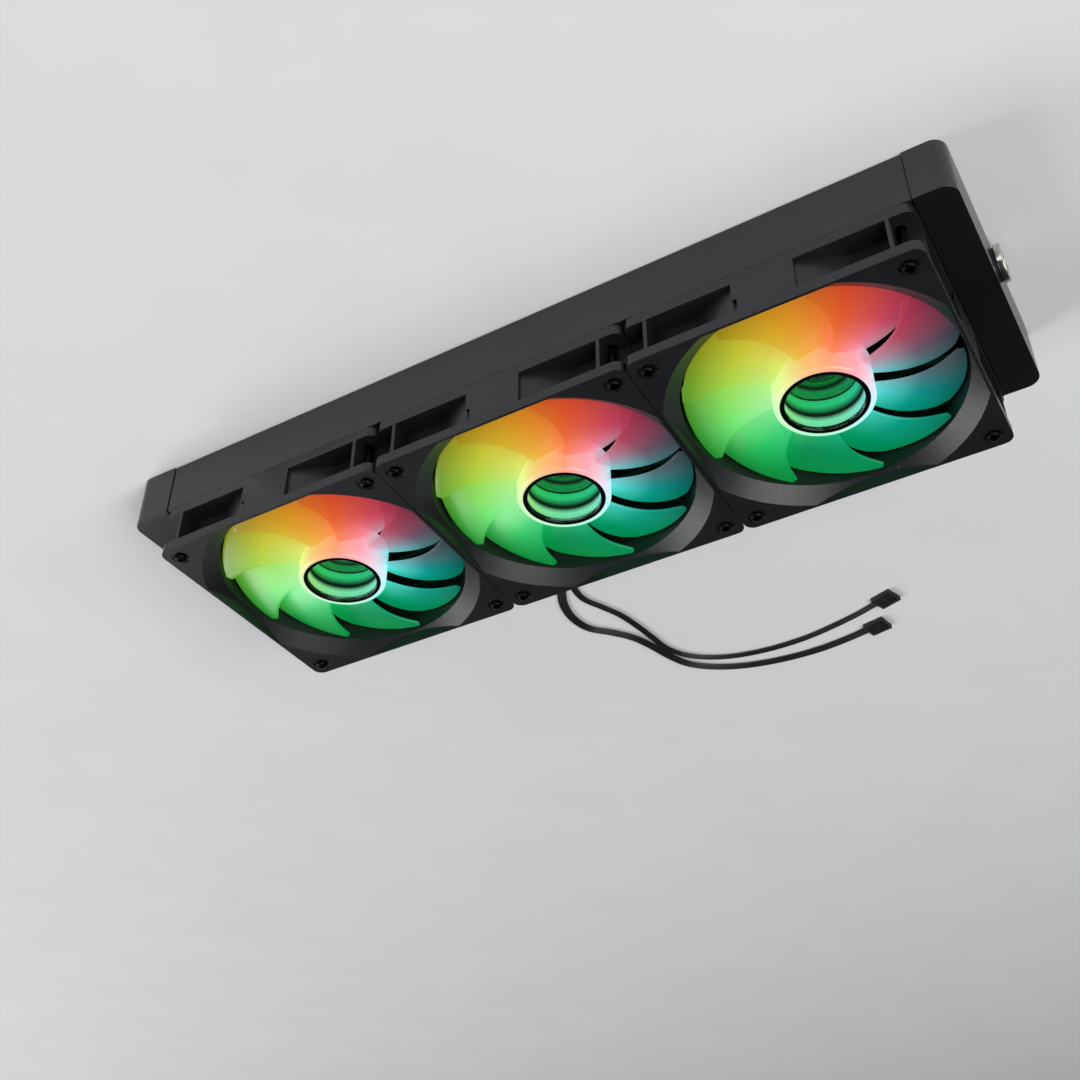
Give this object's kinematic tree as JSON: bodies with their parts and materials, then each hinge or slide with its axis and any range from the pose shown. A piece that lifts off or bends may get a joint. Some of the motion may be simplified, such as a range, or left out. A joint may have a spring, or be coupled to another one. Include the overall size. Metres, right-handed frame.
{
  "type": "liquid cooling radiator",
  "caption": "Slim finned radiator for a computer's cooling liquid, with a row of screwed-on illuminated fans, two threaded hose ports and case screw holes.",
  "frame": {"origin": "centre of the middle group of case screw holes, on the face that bolts to the case", "axes": "+Z from the case face towards the fans' intake faces, +X along the row of fans towards the hose ports, +Y towards the side that the middle fan's leads leave"},
  "size_m": [0.4068, 0.3065, 0.0536],
  "materials": {
    "black_paint": "satin black stove enamel over sheet brass",
    "painted_tubes": "thin black paint over brass tube",
    "painted_fins": "thin black paint over copper strip",
    "zinc_steel": "zinc plated",
    "port_brass": "turned brass",
    "plug_nickel": "nickel plated, turned",
    "seal_rubber": "moulded rubber",
    "frame_plastic": "fine-textured moulded black plastic",
    "glow_plastic": "milky translucent moulded plastic, lit from the hub",
    "bezel_plastic": "glossy black",
    "lens_glass": "half-silvered window",
    "light_ring": "lit diffuser",
    "mirror_coat": "mirror coat",
    "yoke_steel": "drawn steel",
    "ferrite": "bonded ferrite",
    "shaft_steel": "ground steel",
    "bearing_bronze": "sintered bronze",
    "core_steel": "stacked laminations",
    "coil_copper": "enamelled copper wire",
    "board_green": "green solder mask",
    "black_screw": "black oxide",
    "led_white": "lit",
    "cable_black": "satin black insulation",
    "connector_black": "moulded black plastic"
  },
  "bodies": {
    "radiator": {"port_tank": "black_paint", "return_tank": "black_paint", "header_plates": "black_paint", "coolant_tubes": "painted_tubes", "fin_rows": "painted_fins", "side_channel_front": "black_paint", "side_channel_back": "black_paint", "weld_nuts": "zinc_steel", "port_collars": "port_brass", "tank_baffle": "port_brass", "fill_plug": "plug_nickel", "fill_plug_seal": "seal_rubber", "fan_1_frame": "frame_plastic", "fan_1_bearing": "bearing_bronze", "fan_1_stator": "core_steel", "fan_1_coils": "coil_copper", "fan_1_circuit_board": "board_green", "fan_1_cable_grommet": "cable_black", "fan_2_frame": "frame_plastic", "fan_2_bearing": "bearing_bronze", "fan_2_stator": "core_steel", "fan_2_coils": "coil_copper", "fan_2_circuit_board": "board_green", "fan_2_cable_grommet": "cable_black", "fan_3_frame": "frame_plastic", "fan_3_bearing": "bearing_bronze", "fan_3_stator": "core_steel", "fan_3_coils": "coil_copper", "fan_3_circuit_board": "board_green", "fan_3_cable_grommet": "cable_black", "fan_screws": "black_screw", "led_chips": "led_white", "pwm_cable": "cable_black", "pwm_connector": "connector_black", "led_cable": "cable_black", "led_connector": "connector_black"},
    "rotor_1": {"fan_1_impeller": "glow_plastic", "fan_1_bezel": "bezel_plastic", "fan_1_mirror_lens": "lens_glass", "fan_1_light_ring": "light_ring", "fan_1_back_mirror": "mirror_coat", "fan_1_rotor_yoke": "yoke_steel", "fan_1_magnet": "ferrite", "fan_1_shaft": "shaft_steel"},
    "rotor_2": {"fan_2_impeller": "glow_plastic", "fan_2_bezel": "bezel_plastic", "fan_2_mirror_lens": "lens_glass", "fan_2_light_ring": "light_ring", "fan_2_back_mirror": "mirror_coat", "fan_2_rotor_yoke": "yoke_steel", "fan_2_magnet": "ferrite", "fan_2_shaft": "shaft_steel"},
    "rotor_3": {"fan_3_impeller": "glow_plastic", "fan_3_bezel": "bezel_plastic", "fan_3_mirror_lens": "lens_glass", "fan_3_light_ring": "light_ring", "fan_3_back_mirror": "mirror_coat", "fan_3_rotor_yoke": "yoke_steel", "fan_3_magnet": "ferrite", "fan_3_shaft": "shaft_steel"}
  },
  "joints": [
    {"name": "fan_1_spin", "type": "hinge", "parent": "radiator", "child": "rotor_1", "pos_m": [0.12, 0, 0.04], "axis": [0, 0, 1], "continuous": true},
    {"name": "fan_2_spin", "type": "hinge", "parent": "radiator", "child": "rotor_2", "pos_m": [0, 0, 0.04], "axis": [0, 0, 1], "continuous": true},
    {"name": "fan_3_spin", "type": "hinge", "parent": "radiator", "child": "rotor_3", "pos_m": [-0.12, 0, 0.04], "axis": [0, 0, 1], "continuous": true}
  ]
}
